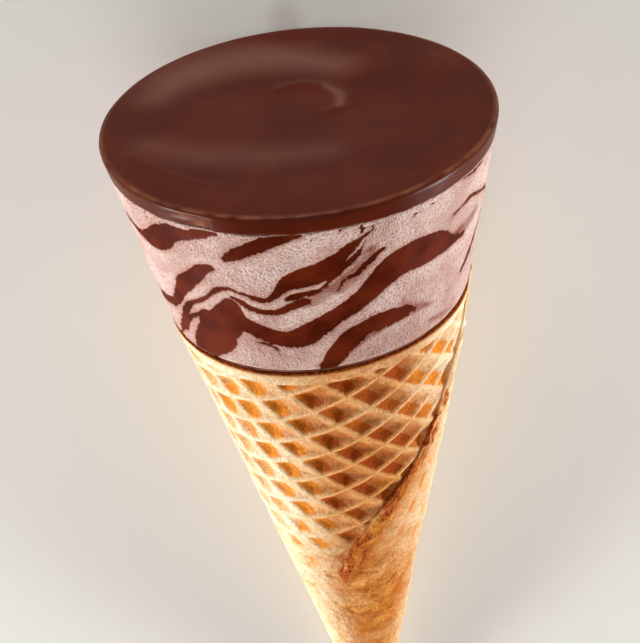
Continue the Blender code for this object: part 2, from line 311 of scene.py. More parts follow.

# %% [markdown]
# ### Baked sugar wafer
# A sugar wafer is a thin batter baked between hot irons. It is matt and dry. How brown each place
# is gets worked out on the sheet: golden brown at the front, and nearly cream at the flanks, which
# is painted light where the side light falls. On that lie darker crumbs of 0.4 mm, blisters of 1 mm
# and a fine crackle of dried sugar. The pits are amber on their steep side, painted shade for the
# wall that the light doesn't reach, and browned all over where the sheet is browner. The ridges'
# pale crests are a painted highlight. The torn edge, the creases and the lip are toasted, first
# light brown and then dark in flakes; in the creases and crinkles the darkening is partly painted shade.

# %% The wafer's finish
wafer_finish, tree, shader = finish_named("baked_sugar_wafer")
BY_BAKE_AND_LIGHT = {
    "crumb": ("#f2ce92", "#be681e"),
    "ridge": ("#fce9c4", "#e29c55"),
    "blister": ("#e0a862", "#98460f"),
    "crackle": ("#ecb566", "#8c3c08"),
    "toast_and_groove_shade": ("#ecb470", "#be6a22"),
}
spot = add(tree, "TexCoord", out="Object")
sheet_at = add(tree, "Attribute", out="Vector", attribute_name="sheet")
shows, toast_and_groove_shade, bake_and_painted_light = (
    add(tree, "Attribute", out="Fac", attribute_name=name) for name in ("pattern", "toast_and_groove_shade", "bake_and_painted_light")
)
pit_share, crest_highlight, steep_side = iron_pattern(tree, sheet_at, shows, IRON)
mottle = add(tree, "TexNoise", {"Vector": spot, "Scale": 360.0, "Detail": 5.0, "Roughness": 0.65})
crumb = add(tree, "TexNoise", {"Vector": spot, "Scale": 2400.0, "Detail": 3.0, "Roughness": 0.7})
blister = add(tree, "TexVoronoi", {"Vector": spot, "Scale": 900.0})
by_bake_and_light = {part: add(tree, "Mix", {0: bake_and_painted_light, 6: linear(light), 7: linear(dark)}, **COLOURS)
           for part, (light, dark) in BY_BAKE_AND_LIGHT.items()}

patches = add(tree, "MapRange", {0: mottle, 1: 0.35, 2: 0.65}, **SMOOTH)
pale = add(tree, "Mix", {0: patches, 6: linear("#f7deae"), 7: linear("#fdf2d8")}, **COLOURS)
golden = add(tree, "Mix", {0: patches, 6: linear("#c67020"), 7: linear("#e09a46")}, **COLOURS)
gold = add(tree, "Mix", {0: bake_and_painted_light, 6: pale, 7: golden}, **COLOURS)
crumbs = add(tree, "MapRange", {0: crumb, 1: 0.48, 2: 0.6, 4: 0.6}, **SMOOTH)
gold = add(tree, "Mix", {0: crumbs, 6: gold, 7: by_bake_and_light["crumb"]}, **COLOURS)

amber_darkening = add(tree, "MapRange", {0: bake_and_painted_light, 1: 0.38, 2: 0.95}, **SMOOTH)
amber = add(tree, "Mix", {0: amber_darkening, 6: linear("#fb9c32"), 7: linear("#aa4602")}, **COLOURS)
dark_amber = add(tree, "Mix", {0: amber_darkening, 6: linear("#dc7a22"), 7: linear("#8a3602")}, **COLOURS)
amber_crumbs = add(tree, "MapRange", {0: crumb, 1: 0.42, 2: 0.62, 4: 0.5}, **SMOOTH)
amber = add(tree, "Mix", {0: amber_crumbs, 6: amber, 7: dark_amber}, **COLOURS)
# Amber on each pit's steep side is painted shade for the wall that the side light doesn't reach.
wall_depth = add(tree, "MapRange", {0: pit_share, 1: 0.06, 2: 0.36}, **SMOOTH)
wall_shade_strength = add(tree, "MapRange", {0: bake_and_painted_light, 1: 0.0, 2: 0.16, 3: 0.5}, **SMOOTH)
painted_wall_shade = add(tree, "Math", {0: wall_depth, 1: steep_side}, operation="MULTIPLY")
painted_wall_shade = add(tree, "Math", {0: painted_wall_shade, 1: wall_shade_strength}, operation="MULTIPLY")
floor_depth = add(tree, "MapRange", {0: pit_share, 1: 0.12, 2: 0.5}, **SMOOTH)
floor_amber_strength = add(tree, "MapRange", {0: bake_and_painted_light, 1: 0.25, 2: 0.85, 4: 0.6}, **SMOOTH)
on_floor = add(tree, "Math", {0: floor_depth, 1: floor_amber_strength}, operation="MULTIPLY")
pit_amber_and_shade = add(tree, "Math", {0: painted_wall_shade, 1: on_floor}, operation="MAXIMUM")

blisters = add(tree, "MapRange", {0: blister, 1: 0.18, 2: 0.08, 4: 0.45}, **SMOOTH)
crack = add(tree, "TexNoise", {"Vector": spot, "Scale": 650.0, "Detail": 3.0, "Roughness": 0.65,
                               "Distortion": 0.5})
off_line = add(tree, "Math", {0: crack, 1: 0.5}, operation="SUBTRACT")
off_line = add(tree, "Math", {0: off_line}, operation="ABSOLUTE")
crackle = add(tree, "MapRange", {0: off_line, 1: 0.025, 2: 0.0, 4: 0.42}, **SMOOTH)
lightly = add(tree, "MapRange", {0: toast_and_groove_shade, 1: 0.0, 2: 0.6, 4: 0.85}, **SMOOTH)
strongly = add(tree, "MapRange", {0: toast_and_groove_shade, 1: 0.35, 2: 0.9}, **SMOOTH)
flaking = add(tree, "MapRange", {0: crumb, 1: 0.42, 2: 0.6}, **SMOOTH)
flakes = add(tree, "Mix", {0: flaking, 6: linear("#863206"), 7: linear("#c86a28")}, **COLOURS)
colour = gold
# The ridges' pale crest colour is a painted highlight, where a raised crest would catch the light.
for share, over in ((pit_amber_and_shade, amber), (crest_highlight, by_bake_and_light["ridge"]), (blisters, by_bake_and_light["blister"]),
                    (crackle, by_bake_and_light["crackle"]), (lightly, by_bake_and_light["toast_and_groove_shade"]), (strongly, flakes)):
    colour = add(tree, "Mix", {0: share, 6: colour, 7: over}, **COLOURS)

grain = add(tree, "Bump", {"Height": crumb, "Strength": 1.0, "Distance": 0.0004})
lines = add(tree, "Bump", {"Height": crackle, "Strength": 0.8, "Distance": 0.0003, "Normal": grain},
            invert=True)
waves = add(tree, "Bump", {"Height": mottle, "Strength": 0.7, "Distance": 0.0006, "Normal": lines})
matt = add(tree, "MapRange", {0: crumb, 1: 0.3, 2: 0.7, 3: 0.5, 4: 0.72}, **SMOOTH)
set_inputs(tree, shader, {
    "Base Color": colour, "Normal": waves, "Roughness": matt, "Specular IOR Level": 0.06,
    "Subsurface Weight": 0.3, "Subsurface Radius": (1.0, 0.42, 0.14), "Subsurface Scale": 0.0009,
})
print("finish made:", wafer_finish.name)

# %% [markdown]
# ### Churned cream and folded sauce
# Ice cream scatters light inside its ice and air, so it looks soft and a little pink where brown
# sauce lies near. Its cut side is finely grained, with pores where air bubbles were open. The
# sauce is chocolate: dark, smooth and a little glossy. The mesh holds the distance to the sauce's
# edge in millimetres, so the edge stays crisp, and a fine noise frays it.

# %% The ice cream's finish
cream_finish, tree, shader = finish_named("churned_cream_with_sauce")
spot = add(tree, "TexCoord", out="Object")
edge, sauce_haze_and_shade = (add(tree, "Attribute", out="Fac", attribute_name=name) for name in ("sauce_mm", "sauce_haze_and_shade"))
fray = add(tree, "TexNoise", {"Vector": spot, "Scale": 1500.0, "Detail": 4.0, "Roughness": 0.6})
frost = add(tree, "TexNoise", {"Vector": spot, "Scale": 2600.0, "Detail": 2.0, "Roughness": 0.6})
cloud = add(tree, "TexNoise", {"Vector": spot, "Scale": 180.0, "Detail": 3.0})
fray = add(tree, "Math", {0: fray, 1: -0.5}, operation="ADD")
fray_mm = add(tree, "MapRange", {0: sauce_haze_and_shade, 1: 0.0, 2: 0.6, 3: 0.65, 4: 1.7}, **SMOOTH)
frayed = add(tree, "Math", {0: fray, 1: fray_mm, 2: edge}, operation="MULTIPLY_ADD")
sauce = add(tree, "MapRange", {0: frayed, 1: 0.13, 2: -0.12}, **SMOOTH)

clouds = add(tree, "MapRange", {0: cloud, 1: 0.35, 2: 0.65}, **SMOOTH)
cream = add(tree, "Mix", {0: clouds, 6: linear("#caa79c"), 7: linear("#dfc4ba")}, **COLOURS)
brown = add(tree, "Mix", {0: clouds, 6: linear("#491405"), 7: linear("#5f200c")}, **COLOURS)
shaded_pores = add(tree, "MapRange", {0: frost, 1: 0.34, 2: 0.56, 3: 0.6, 4: 0.0}, **SMOOTH)
near_sauce = add(tree, "MapRange", {0: frayed, 1: 0.9, 2: 0.05, 4: 0.35}, **SMOOTH)
# The darkest cream colour is partly sauce smeared in and partly painted shade towards the mouth.
for share, over in ((shaded_pores, "#b07f74"), (near_sauce, "#a4674f"), (sauce_haze_and_shade, "#82402c")):
    cream = add(tree, "Mix", {0: share, 6: cream, 7: linear(over)}, **COLOURS)
both = add(tree, "Mix", {0: sauce, 6: cream, 7: brown}, **COLOURS)

rough_cream = add(tree, "MapRange", {0: sauce, 1: 0.0, 2: 1.0, 3: 1.0, 4: 0.06}, **SMOOTH)
fine = add(tree, "Bump", {"Height": frost, "Strength": rough_cream, "Distance": 0.0006})
satin = add(tree, "MapRange", {0: sauce, 1: 0.0, 2: 1.0, 3: 0.62, 4: 0.45}, **SMOOTH)
milky = add(tree, "MapRange", {0: sauce, 1: 0.0, 2: 1.0, 3: 0.3, 4: 0.02}, **SMOOTH)
set_inputs(tree, shader, {
    "Base Color": both, "Normal": fine, "Roughness": satin, "IOR": 1.4, "Specular IOR Level": 0.02,
    "Subsurface Weight": milky, "Subsurface Radius": (1.0, 0.6, 0.45), "Subsurface Scale": 0.0012,
})
print("finish made:", cream_finish.name)

# %% [markdown]
# ### Poured milk chocolate
# Milk chocolate sets smooth and satin, and the pour leaves very low waves. Its brown is red rather
# than black. Broad pale streaks on the top are painted sheen, a painted reflection of soft light, and
# broken edges are paler and dry. A thin pale line along the top edge is a painted highlight. The
# lining is the same chocolate, scraped thin and painted paler to lift it out of the shade at the lip.

# %% The chocolate's finish
chocolate_finish, tree, shader = finish_named("poured_milk_chocolate")
spot = add(tree, "TexCoord", out="Object")
scrape_and_painted_light, painted_sheen = (add(tree, "Attribute", out="Fac", attribute_name=name) for name in ("scrape_and_painted_light", "painted_sheen"))
cloud = add(tree, "TexNoise", {"Vector": spot, "Scale": 90.0, "Detail": 2.0})
dust = add(tree, "TexNoise", {"Vector": spot, "Scale": 2500.0, "Detail": 3.0})
clouds = add(tree, "MapRange", {0: cloud, 1: 0.35, 2: 0.65}, **SMOOTH)
body = add(tree, "Mix", {0: clouds, 6: linear("#4a1708"), 7: linear("#551d0b")}, **COLOURS)
# These pale mixes are partly painted light: the streaks are painted sheen, and the scraped colour also paints
# the edge's highlight and lifts the lining out of shade.
for share, over in ((painted_sheen, "#7d5547"), (scrape_and_painted_light, "#9a6248")):
    body = add(tree, "Mix", {0: share, 6: body, 7: linear(over)}, **COLOURS)
dusty = add(tree, "MapRange", {0: scrape_and_painted_light, 1: 0.0, 2: 1.0, 3: 0.05, 4: 0.8}, **SMOOTH)
satin = add(tree, "Bump", {"Height": dust, "Strength": dusty, "Distance": 0.00008})
slow = add(tree, "Bump", {"Height": cloud, "Strength": 0.12, "Distance": 0.0006, "Normal": satin})
dry = add(tree, "MapRange", {0: scrape_and_painted_light, 1: 0.0, 2: 1.0, 3: 0.3, 4: 0.6}, **SMOOTH)
set_inputs(tree, shader, {
    "Base Color": body, "Normal": slow, "Roughness": dry, "IOR": 1.45, "Specular IOR Level": 0.06,
})
lining_finish = chocolate_finish.copy()
lining_finish.name = "thin_set_chocolate"
print("finishes made:", chocolate_finish.name, lining_finish.name)

# %% [markdown]
# ## The wafer
# The real sheet is baked flat in a waffle iron and rolled while hot. So the mesh is worked out on
# the flat sheet and rolled by place(). Its outer turn ends in the seam, a ragged toasted step that
# winds down from the mouth's right side to the front. The sheet's columns follow the seam, so its
# edge is a clean line of faces. The waffle pattern itself is a rule that repeats over a surface,
# so a Geometry Nodes tree presses it in afterwards. The rows lie closest where the point's end is
# creased.

# %% The rolled sheet
SEAM = np.array([
    (10.0, -17.0), (50.0, -17.0), (58.0, -15.5), (64.0, -8.5), (70.0, 0.5), (76.5, 13.0),
    (81.5, 25.0), (87.0, 40.0), (93.0, 52.0), (99.0, 59.5), (107.0, 72.5), (118.0, 86.5),
])
AROUND = 396
SEAM_COLUMNS = 6


def seam_phi(s):
    """The seam's angle at a distance from the sheet's point, a little ragged."""
    line = np.stack([s * 0.9, np.zeros_like(s), np.zeros_like(s)], -1)
    ragged = 1.3 * lumps(line, 2.2, 5) + 0.7 * lumps(line, 0.7, 6)
    return np.interp(s, SEAM[:, 0], SEAM[:, 1]) + ragged * blend(54.0, 62.0, s)


outer_s = np.concatenate([
    np.linspace(TIP_SLANT, 46.0, 38, endpoint=False),
    np.linspace(46.0, 64.0, 50, endpoint=False),
    np.linspace(64.0, SLANT - 0.25, 146),
])
turn = np.concatenate([np.linspace(0.0, 360.0, AROUND + 1), np.full(SEAM_COLUMNS - 1, 360.0)])
climb = np.concatenate([np.zeros(AROUND + 1), np.arange(1, SEAM_COLUMNS) / SEAM_COLUMNS])
S, TURN = np.meshgrid(outer_s, turn, indexing="ij")
CLIMB = np.broadcast_to(climb, S.shape)
PHI = seam_phi(S) - 360.0 + TURN
around_mm = S * math.sin(ALPHA) * math.pi / 180.0
sheet_angle = np.radians(PHI) * math.sin(ALPHA)
SHEET = np.stack([S * np.sin(sheet_angle), S * np.cos(sheet_angle), np.zeros_like(S)], -1)
print("sheet grid:", S.shape)

# %% [markdown]
# The overlap is highest at the edge and settles down further round. The edge is rounded over and
# its foot tucks in, and it is flaky for 3 mm, because the baked sheet breaks in thin layers. Low
# wrinkles and fine crinkles cross the cone below the end of the seam, where the hot sheet was
# pinched to close the point.

# %% Overlap, wrinkles and unevenness
def overlap(s, turned):
    lower_edge = 57.6 + 0.05 * turned
    fade = blend(0.0, 2.6, s - lower_edge) * (1.0 - 0.45 * blend(104.0, 116.0, s))
    return SEAM_STEP * fade * np.maximum(0.0, 1.0 - turned / 150.0) ** 1.5


WRINKLES = [
    (0.24, 0.30, [(93.2, 55.9), (83.6, 55.0), (72.3, 54.2)]),
    (-0.32, 0.32, [(89.4, 54.3), (80.2, 53.5), (74.3, 53.4)]),
    (-0.28, 0.36, [(94.2, 63.7), (86.7, 63.0), (76.5, 61.7)]),
    (-0.32, 0.30, [(115.3, 60.4), (107.3, 59.9), (98.0, 58.4)]),
    (-0.20, 0.40, [(64.3, 55.9), (56.0, 58.0)]),
    (0.14, 0.50, [(78.0, 50.5), (66.0, 47.0), (58.0, 47.5)]),
    (-0.16, 0.45, [(105.0, 49.5), (92.0, 47.8), (84.0, 48.6)]),
    (-0.16, 0.5, [(200.0, 52.0), (222.0, 50.0), (240.0, 51.5)]),
    (0.14, 0.5, [(290.0, 47.0), (310.0, 45.5), (325.0, 46.5)]),
]
edge_mm = np.minimum(TURN, 360.0) * around_mm
height = overlap(S, TURN)
rounding = 1.0 - 0.3 * np.exp(-edge_mm / 0.45)
height = np.where(TURN >= 360.0, 0.0, height * rounding)
height = height + CLIMB * overlap(S, 0.0) * 0.7
creased = np.zeros_like(height)
shift_mm = -0.32 * np.sin(np.pi * CLIMB) * (CLIMB > 0.0) * blend(57.0, 62.0, S)
for lift, width, places in WRINKLES:
    turned = [(s, math.radians(90.0 - t) * math.sin(ALPHA)) for t, s in places]
    line = [(s * math.sin(a), s * math.cos(a), 0.0) for s, a in turned]
    for whole_turn in (0.0, -2.0 * math.pi * math.sin(ALPHA)):
        c, n = math.cos(-whole_turn), math.sin(-whole_turn)
        turned_line = [(x * c - y * n, x * n + y * c, w) for x, y, w in line]
        fold = np.exp(-(strokes_distance(SHEET[..., 0], SHEET[..., 1], turned_line) / width) ** 2)
        height = height + lift * fold
        creased = np.maximum(creased, fold * (lift < 0.0))
THETA = 90.0 - PHI - np.degrees(shift_mm / (S * math.sin(ALPHA)))
smooth = place(MOUTH_Z + (SLANT - S) * math.cos(ALPHA), S * math.sin(ALPHA), THETA) / MM
tip_end = 1.0 - blend(56.0, 74.0, S)
height = height + 0.10 * lumps(smooth, 9.0, 11) + 0.045 * lumps(smooth, 2.6, 12)
near_seam = np.minimum(edge_mm, (360.0 - TURN) * around_mm)
streaks = np.stack([near_seam / 0.75, S / 2.6, np.zeros_like(S)], -1)
flaky = np.exp(-((edge_mm / 2.8) ** 2)) * blend(58.0, 64.0, S) * (1.0 - 0.6 * blend(92.0, 104.0, S))
flakes_mm = 0.2 * lumps(smooth, 0.7, 15) + 0.26 * lumps(streaks, 1.0, 16) + 0.1 * lumps(smooth, 1.5, 19)
height = height + flaky * flakes_mm
along = np.stack([smooth[..., 0] / 3.4, S / 1.1, smooth[..., 2] / 3.4], -1)
crinkle = blend(0.78, 1.0, 1.0 - np.abs(lumps(along, 1.0, 17)))
crinkle = np.maximum(crinkle, 0.6 * blend(0.75, 1.0, 1.0 - np.abs(lumps(along, 0.5, 20))))
crinkle = crinkle * (1.0 - blend(62.0, 76.0, S + 4.0 * lumps(smooth, 5.0, 18)))
height = height - 0.15 * crinkle * blend(14.0, 24.0, S)
height = height + tip_end * (0.10 * lumps(smooth, 3.4, 13) + 0.05 * lumps(smooth, 1.4, 14))
print("overlap and wrinkles lie between", round(height.min(), 2), "and", round(height.max(), 2), "mm")

# %% [markdown]
# The iron bakes the sheet unevenly in patches, and the front is the brownest. Both flanks are painted
# pale, a painted highlight where the side light falls. Toasting follows the torn edge, and in the
# creases and the crinkles it is partly toasting and partly painted shade in the grooves. The pattern
# fades out at the collar, towards the point, and where the overlap was pressed smooth.

# %% The sheet's toasting and where the pattern shows
below_seam = (TURN >= 180.0) | (CLIMB > 0.0)
reach = np.where(below_seam, 0.6, 1.5)
torn = blend(57.0, 64.0, S) * (1.0 - 0.75 * blend(92.0, 104.0, S))
flecks = 0.7 * lumps(streaks, 1.0, 21) + 0.5 * lumps(smooth, 0.6, 28)
toast_and_groove_shade = np.exp(-((near_seam / reach) ** 2)) * torn * np.clip(0.65 + flecks, 0.1, 1.0)
wide = np.exp(-((near_seam / 3.4) ** 2)) * np.where(below_seam, 0.3, 1.0)
toast_and_groove_shade = toast_and_groove_shade + 0.85 * torn * blend(0.0, 0.4, flecks) * wide
# In the creases and crinkles the darkening is partly toasting and partly painted shade in the grooves.
toast_and_groove_shade = toast_and_groove_shade + 0.22 * blend(0.3, 0.8, lumps(smooth, 4.5, 23)) * tip_end + 0.35 * creased + 0.42 * crinkle


def facing(phi, low, high):
    """1 on the side that faces an angle from the front, fading out between two cosines."""
    return blend(low, high, np.cos(np.radians(90.0 - THETA - phi)))


front_side, left_side, right_side = facing(20.0, 0.1, 0.95), facing(-75.0, 0.3, 0.9), facing(95.0, 0.35, 0.9)
# The flanks are painted pale, a painted highlight where the side light falls; the front is browner.
bake_and_painted_light = 0.22 + 0.6 * front_side - 0.35 * left_side - 0.34 * right_side
bake_and_painted_light = bake_and_painted_light + 0.15 * lumps(smooth, 9.0, 26) + 0.1 * lumps(smooth, 3.0, 27)
bake_and_painted_light = bake_and_painted_light - 0.18 * blend(SLANT - 3.0, SLANT - 2.0, S)
bake_and_painted_light = bake_and_painted_light + 0.16 * (1.0 - blend(48.0, 76.0, S)) * (0.9 - 0.5 * left_side)
bake_and_painted_light = bake_and_painted_light + 0.3 * np.exp(-edge_mm / 4.0) * blend(57.0, 68.0, S) * (1.0 - blend(84.0, 100.0, S))
bake_and_painted_light = bake_and_painted_light + (0.1 * left_side - 0.22 * right_side) * blend(92.0, 108.0, S)
collar_s = SLANT - 2.35 + 0.25 * np.sin(np.radians(THETA) * 2.0 + 0.6) + 0.12 * lumps(smooth, 3.0, 24)
pattern = blend(54.0, 80.0, S + 3.0 * lumps(smooth, 9.0, 25)) * (1.0 - blend(-0.15, 0.05, S - collar_s))
pattern = pattern * (0.6 + 0.4 * blend(70.0, 94.0, S))
loose = blend(5.0, 60.0, TURN + 60.0 * blend(78.0, 98.0, S))
pattern = pattern * (0.2 + 0.8 * loose) * (1.0 - CLIMB)
pattern = np.where(TURN >= 180.0, pattern * blend(0.0, 0.8, (360.0 - TURN) * around_mm), pattern)
wander = np.stack([lumps(smooth, 5.0, 31), lumps(smooth, 5.0, 32), np.zeros_like(S)], -1)
print("toast up to", round(float(toast_and_groove_shade.max()), 2))

# %% Roll the sheet and close it into a cup
outer_z = MOUTH_Z + (SLANT - S) * math.cos(ALPHA) + height * math.sin(ALPHA)
outer_r = S * math.sin(ALPHA) + height * math.cos(ALPHA)
outer = place(outer_z, outer_r, THETA)
angle = np.radians(THETA)
outward = np.cos(angle)[..., None] * RIGHT + np.sin(angle)[..., None] * UPWARD
outward = math.sin(ALPHA) * AXIS + math.cos(ALPHA) * outward

rim_theta = THETA[-1]
tip_z = APEX_Z - TIP_RADIUS / math.sin(ALPHA)
rounds = np.radians(np.array([88.0, 70.0, 52.0, 34.0]))
tip = [place(tip_z + TIP_RADIUS * np.sin(a), TIP_RADIUS * np.cos(a), THETA[0]) for a in rounds]
ragged_lip = 0.12 * lumps(smooth[-1], 2.4, 41) + 0.08 * lumps(smooth[-1], 0.9, 42)
rim_r = outer_r[-1]
lip = [
    place(MOUTH_Z + 0.10 + ragged_lip * 0.6, rim_r - 0.15, rim_theta),
    place(MOUTH_Z - 0.03 + ragged_lip, rim_r - 0.36, rim_theta),
    place(MOUTH_Z + 0.06 + ragged_lip, MOUTH_RADIUS - LIP + 0.05, rim_theta),
]
inner_z = (MOUTH_Z + CHAMFER, 60.0, 90.0, HOLLOW_END_Z - 0.6)
inner = [place(z, hollow_radius(z), rim_theta) for z in inner_z]
inner += [place(HOLLOW_END_Z, r, rim_theta) for r in (hollow_radius(HOLLOW_END_Z) - 0.8, 0.0)]
rings = np.stack([place(tip_z + TIP_RADIUS, 0.0, THETA[0])] + tip + list(outer) + lip + inner)


def padded_rows(values, before, behind, plain=0.0):
    """The shown rows' values, with rows of a plain value before them and behind them."""
    return np.pad(values, [(before, behind)] + [(0, 0)] * (values.ndim - 1), constant_values=plain)


before, behind = 1 + len(tip), len(lip) + len(inner)
toast_and_shade_rows = padded_rows(np.clip(toast_and_groove_shade, 0.0, 1.0), before, behind)
toast_and_shade_rows[-behind:-behind + len(lip)] = 0.9
for back, share in ((1, 0.65), (2, 0.3), (3, 0.1)):
    toast_and_shade_rows[-behind - back] = np.maximum(toast_and_shade_rows[-behind - back], share)
marks = {
    "sheet": padded_rows(SHEET + 0.16 * wander, before, behind),
    "outward": padded_rows(outward, before, behind),
    "pattern": padded_rows(pattern, before, behind),
    "toast_and_groove_shade": toast_and_shade_rows,
    "bake_and_painted_light": padded_rows(np.clip(bake_and_painted_light, 0.0, 1.0), before, behind, 0.5),
}
blank = skin("wafer_blank", rings, marks)

# %% [markdown]
# ## Pressing the waffle
# In Geometry Nodes the pattern's nodes read the flat sheet's coordinates that each point kept, and
# the surface is moved in along the cone's own outward direction, so the rolled shape stays true.

# %% The waffle iron as a node tree
iron = bpy.data.node_groups.new("waffle_iron", "GeometryNodeTree")
iron.interface.new_socket("Sheet", in_out="INPUT", socket_type="NodeSocketGeometry")
values = dict(IRON, **{"Pit depth": PIT_DEPTH * MM, "Finish": wafer_finish})
socket_of = {}
for label, value in values.items():
    kind = "Vector" if isinstance(value, tuple) else "Material" if value is wafer_finish else "Float"
    socket = iron.interface.new_socket(label, in_out="INPUT", socket_type="NodeSocket" + kind)
    socket_of[label] = socket.identifier
iron.interface.new_socket("Waffle", in_out="OUTPUT", socket_type="NodeSocketGeometry")
entry = add(iron, "NodeGroupInput").node.outputs
sheet_at, outward_at, shows_at = (
    add(iron, "GeometryNodeInputNamedAttribute", {"Name": name}, data_type=kind)
    for name, kind in (("sheet", "FLOAT_VECTOR"), ("outward", "FLOAT_VECTOR"), ("pattern", "FLOAT"))
)
pit = iron_pattern(iron, sheet_at, shows_at, entry)[0]
depth = add(iron, "Math", {0: pit, 1: entry["Pit depth"]}, operation="MULTIPLY")
inward = add(iron, "Math", {0: depth, 1: -1.0}, operation="MULTIPLY")
move = add(iron, "VectorMath", {0: outward_at, "Scale": inward}, operation="SCALE")
moved = add(iron, "GeometryNodeSetPosition", {"Geometry": entry["Sheet"], "Offset": move})
real = add(iron, "GeometryNodeRealizeInstances", {"Geometry": moved})
dressed = add(iron, "GeometryNodeSetMaterial", {"Geometry": real, "Material": entry["Finish"]})
add(iron, "NodeGroupOutput", {"Waffle": dressed})
print("the iron has", len(iron.nodes), "nodes")

# %% Press the sheet
press = blank.modifiers.new("press", "NODES")
press.node_group = iron
for label, identifier in socket_of.items():
    press[identifier] = values[label]
bpy.context.view_layer.update()
graph = bpy.context.evaluated_depsgraph_get()
pressed = bpy.data.meshes.new_from_object(blank.evaluated_get(graph), depsgraph=graph)
blank.modifiers.clear()
bpy.data.objects.remove(blank)
wafer = into_scene("rolled_wafer", pressed)
print("pressed wafer:", len(pressed.vertices), "points")

# %% [markdown]
# ## The ice cream
# It fills the wafer and stands 28 mm above it in the wafer's taper, necking in just above the
# mouth. The sauce was folded in before filling, so it shows as bands and drawn-out threads. Each
# stroke is a few places with (angle from the front, depth, half width); the back repeats the same
# kinds of stroke. The sauce is a little lower than the cream.

